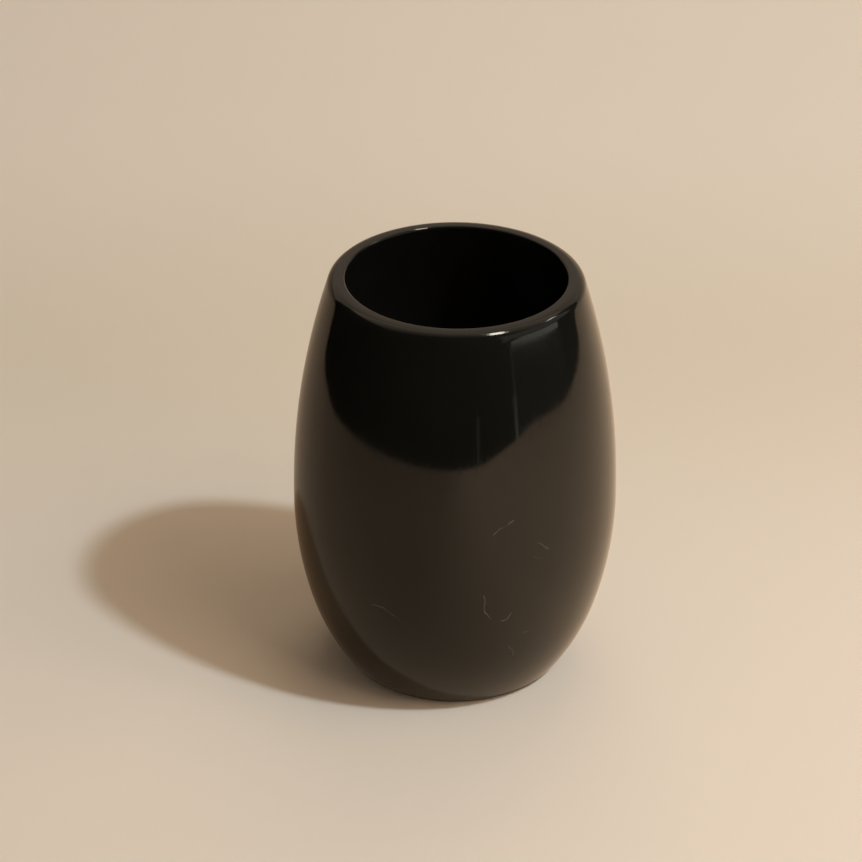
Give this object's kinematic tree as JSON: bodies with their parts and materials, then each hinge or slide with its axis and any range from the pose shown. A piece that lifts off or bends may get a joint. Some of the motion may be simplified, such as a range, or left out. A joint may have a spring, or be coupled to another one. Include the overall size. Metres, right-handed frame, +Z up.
{
  "type": "black clay pot",
  "caption": "Barrel-shaped pot of burnished black clay with a wide open mouth, a rounded rim and a flat foot.",
  "frame": {"origin": "middle of the foot, on the surface that the pot stands on", "axes": "+Z up along the axis the pot is turned about, out of its mouth; the pot is round, so +X and +Y have no marks of their own"},
  "size_m": [0.099, 0.099, 0.13],
  "materials": {
    "burnished_clay": "polished"
  },
  "bodies": {
    "root": {"pot": "burnished_clay"}
  },
  "joints": []
}
